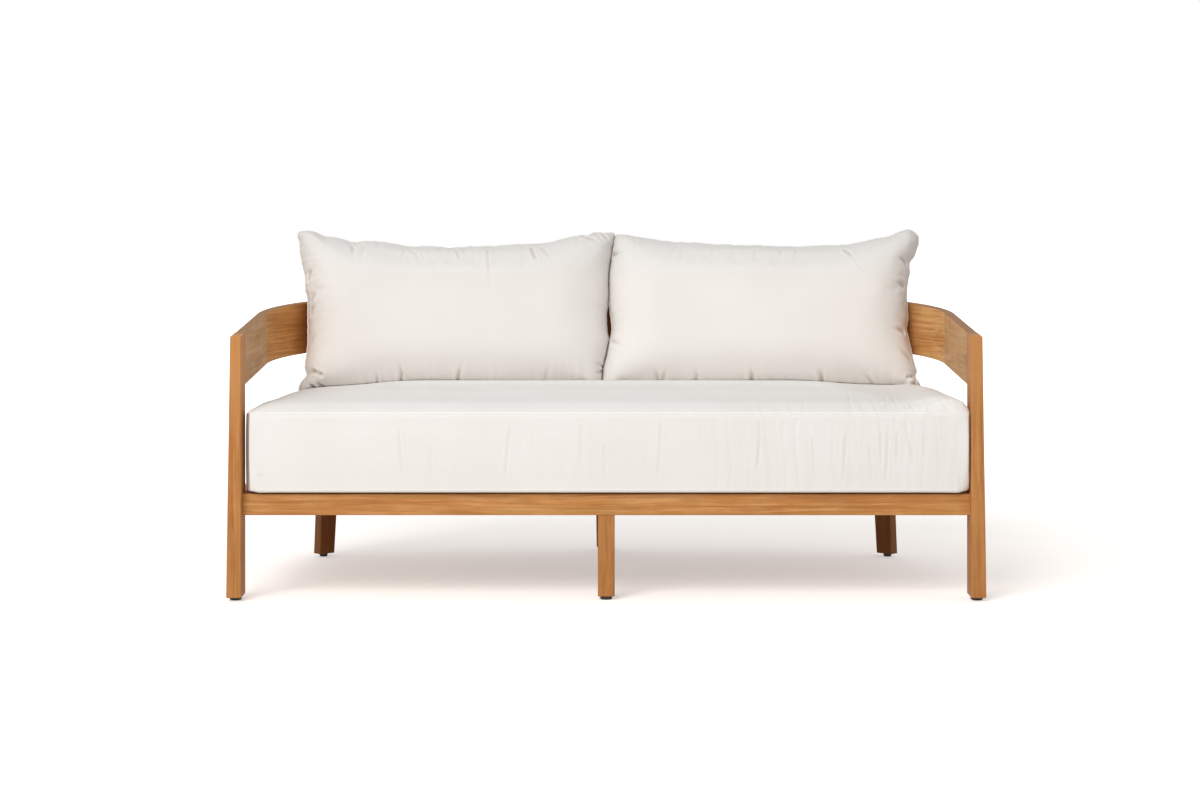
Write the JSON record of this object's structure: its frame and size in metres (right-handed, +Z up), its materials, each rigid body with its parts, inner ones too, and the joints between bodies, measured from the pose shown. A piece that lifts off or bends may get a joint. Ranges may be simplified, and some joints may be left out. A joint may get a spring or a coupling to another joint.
{
  "type": "patio loveseat",
  "caption": "Patio loveseat with a bent hardwood band as arms and back on slim legs, a slatted seat, a bench cushion and loose back cushions.",
  "frame": {"origin": "on the floor, under the middle of the frame's width and depth", "axes": "+X to the right seen from the front, +Y from the front edge to the back band, +Z up"},
  "size_m": [1.698, 0.8495, 0.8128],
  "materials": {
    "teak": "oiled, golden brown",
    "cushion_fabric": "ivory woven outdoor cloth",
    "foam": "open cell foam",
    "fibre_fill": "loose fibre fill",
    "foot_plastic": "black, matte",
    "zip_tape": "ivory zip tape",
    "zip_metal": "satin",
    "steel": "stainless"
  },
  "bodies": {
    "frame": {"front_leg_left": "teak", "front_leg_middle": "teak", "front_leg_right": "teak", "rear_post_left": "teak", "rear_post_middle": "teak", "rear_post_right": "teak", "arm_band_left": "teak", "arm_band_right": "teak", "corner_band_left": "teak", "corner_band_right": "teak", "back_band": "teak", "front_rail": "teak", "side_rail_left": "teak", "side_rail_right": "teak", "corner_rail_front_left": "teak", "corner_rail_front_right": "teak", "corner_rail_rear_left": "teak", "corner_rail_rear_right": "teak", "rear_rail_left": "teak", "rear_rail_right": "teak", "centre_bearer": "teak", "front_ledger_left": "teak", "front_ledger_right": "teak", "side_ledger_left": "teak", "side_ledger_right": "teak", "corner_ledger_left": "teak", "corner_ledger_right": "teak", "rear_ledger_left": "teak", "rear_ledger_right": "teak", "seat_slats_left": "teak", "seat_slat_middle": "teak", "seat_slats_right": "teak", "rail_dowels_left": "teak", "rail_dowels_right": "teak", "band_dowels_left": "teak", "band_dowels_right": "teak", "middle_dowels": "teak", "slat_screws": "steel", "foot_front_left": "foot_plastic", "foot_front_middle": "foot_plastic", "foot_front_right": "foot_plastic", "foot_rear_left": "foot_plastic", "foot_rear_middle": "foot_plastic", "foot_rear_right": "foot_plastic"},
    "seat_cushion": {"seat_cushion_cover": "cushion_fabric", "seat_cushion_foam": "foam", "zip_tape": "zip_tape"},
    "back_cushion_left": {"back_cushion_cover_left": "cushion_fabric", "back_cushion_fill_left": "fibre_fill"},
    "back_cushion_right": {"back_cushion_cover_right": "cushion_fabric", "back_cushion_fill_right": "fibre_fill"},
    "zip_slider": {"zip_slider": "zip_metal"}
  },
  "joints": [
    {"name": "seat_cushion_lift", "type": "slide", "parent": "frame", "child": "seat_cushion", "axis": [0, 0, 1], "range_m": [0, 0.43]},
    {"name": "back_cushion_left_lift", "type": "slide", "parent": "seat_cushion", "child": "back_cushion_left", "axis": [0, 0, 1], "range_m": [0, 0.25]},
    {"name": "back_cushion_right_lift", "type": "slide", "parent": "seat_cushion", "child": "back_cushion_right", "axis": [0, 0, 1], "range_m": [0, 0.25]},
    {"name": "seat_zip_slide", "type": "slide", "parent": "seat_cushion", "child": "zip_slider", "axis": [1, 0, 0], "range_m": [0, 0.79]}
  ]
}
